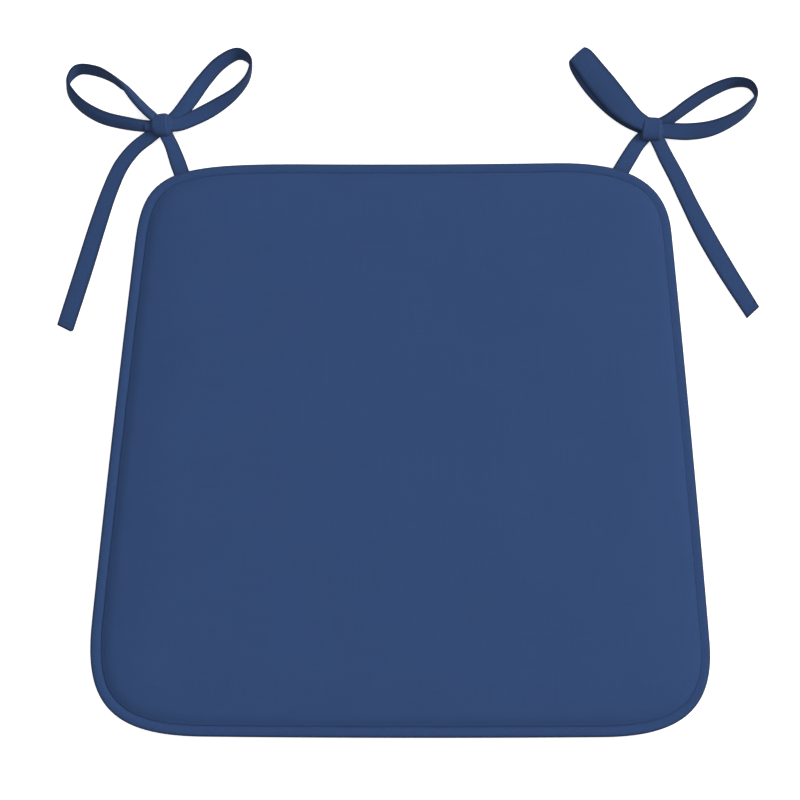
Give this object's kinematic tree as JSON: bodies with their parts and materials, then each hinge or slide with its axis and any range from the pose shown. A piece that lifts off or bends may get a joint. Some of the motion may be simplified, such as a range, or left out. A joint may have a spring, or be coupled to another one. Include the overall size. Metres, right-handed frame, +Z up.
{
  "type": "tie-on chair pad",
  "caption": "Tapered, piped fabric seat pad lying on its back, with a flat fabric tie knotted in a bow at each back corner.",
  "frame": {"origin": "On the surface that the pad lies on, under the middle of the piped outline", "axes": "+Z up out of the sitting face, +Y towards the narrow back edge and its ties, +X towards the right end of the wide front edge"},
  "size_m": [0.4716, 0.4626, 0.02],
  "materials": {
    "cover": "matt navy plain-weave cotton",
    "piping": "matt navy cotton, cut on the bias over cord",
    "ties": "matt navy cotton, folded and edge-stitched"
  },
  "bodies": {
    "root": {"pad": "cover", "piping": "piping", "tie_left": "ties", "tie_right": "ties"}
  },
  "joints": []
}
